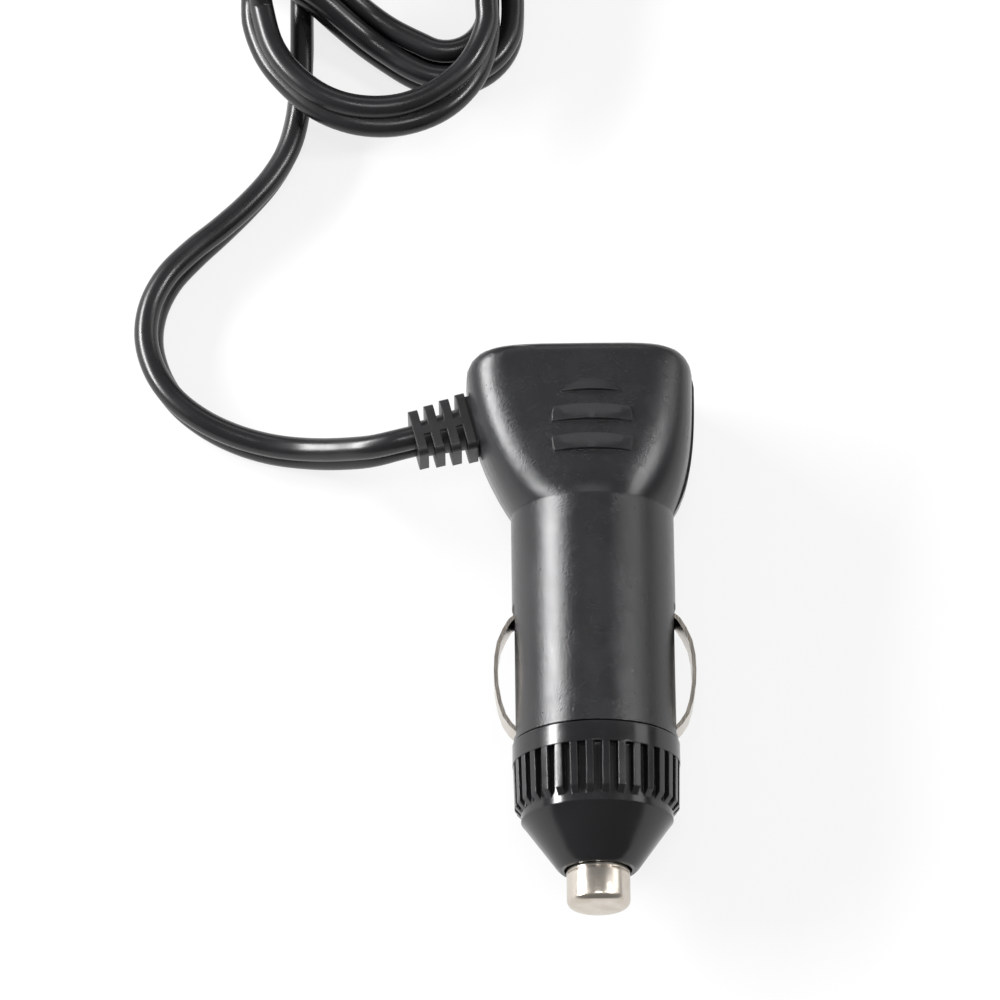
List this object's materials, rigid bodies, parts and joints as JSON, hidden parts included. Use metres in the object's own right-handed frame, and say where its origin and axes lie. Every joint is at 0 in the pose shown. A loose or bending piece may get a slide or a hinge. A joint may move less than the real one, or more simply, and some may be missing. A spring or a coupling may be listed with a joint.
{
  "type": "cigarette lighter splitter",
  "caption": "Vehicle power plug with a wide finger-ridged head, sprung contacts and a side lead that is coiled and runs to a housing of power sockets.",
  "frame": {"origin": "on the plug's axis, at the shoulder where its head meets its barrel", "axes": "-Y along the plug towards its tip, +Z out of the plug's ridged front face, +X away from the side where the lead enters"},
  "size_m": [0.0723, 0.2344, 0.0284],
  "materials": {
    "satin_plastic": "fine satin grain",
    "gloss_plastic": "glossy",
    "nickel": "bright nickel plate",
    "brass": "plain",
    "glass": "clear",
    "screw_steel": "zinc plate",
    "relief_rubber": "satin",
    "lead_sheath": "glossy soft sheath",
    "red_wire": "plain",
    "black_wire": "plain",
    "fibre": "hard fibre board"
  },
  "bodies": {
    "plug": {"front_shell": "satin_plastic", "rear_shell": "satin_plastic", "contact_spring": "nickel", "spring_seat": "brass", "ground_ring": "brass", "positive_wire": "red_wire", "negative_wire": "black_wire", "strain_relief": "relief_rubber", "shell_screws": "screw_steel", "lead_run": "lead_sheath", "lead_coil": "lead_sheath", "lead_loop": "lead_sheath", "lead_tail": "lead_sheath", "lead_tie": "relief_rubber", "housing_relief": "relief_rubber", "housing_base": "satin_plastic", "housing_cover": "satin_plastic", "housing_screws": "screw_steel", "socket_sleeve_left": "nickel", "socket_sleeve_right": "nickel", "socket_floor_left": "fibre", "socket_floor_right": "fibre", "centre_contact_left": "brass", "centre_contact_right": "brass", "positive_bus": "brass", "negative_bus": "brass", "housing_positive_wire": "red_wire", "housing_negative_wire": "black_wire"},
    "contact": {"contact_tip": "nickel", "fuse_glass": "glass", "fuse_end_caps": "nickel", "fuse_wire": "nickel"},
    "leaf_left": {"side_spring_left": "nickel"},
    "leaf_right": {"side_spring_right": "nickel"},
    "nose": {"nose_cap": "gloss_plastic"}
  },
  "joints": [
    {"name": "contact_press", "type": "slide", "parent": "plug", "child": "contact", "axis": [0, 1, 0], "range_m": [0, 0.002], "stiffness_N_per_m": 900, "springref_m": -0.004, "deforming": ["contact_spring"]},
    {"name": "leaf_left_press", "type": "slide", "parent": "plug", "child": "leaf_left", "axis": [1, 0, 0], "range_m": [0, 0.0022], "stiffness_N_per_m": 2500, "springref_m": -0.001},
    {"name": "leaf_right_press", "type": "slide", "parent": "plug", "child": "leaf_right", "axis": [-1, 0, 0], "range_m": [0, 0.0022], "stiffness_N_per_m": 2500, "springref_m": -0.001},
    {"name": "cap_unscrew", "type": "hinge", "parent": "plug", "child": "nose", "pos_m": [0, -0.034, 0], "axis": [0, 1, 0], "range_deg": [0, 1440]}
  ]
}
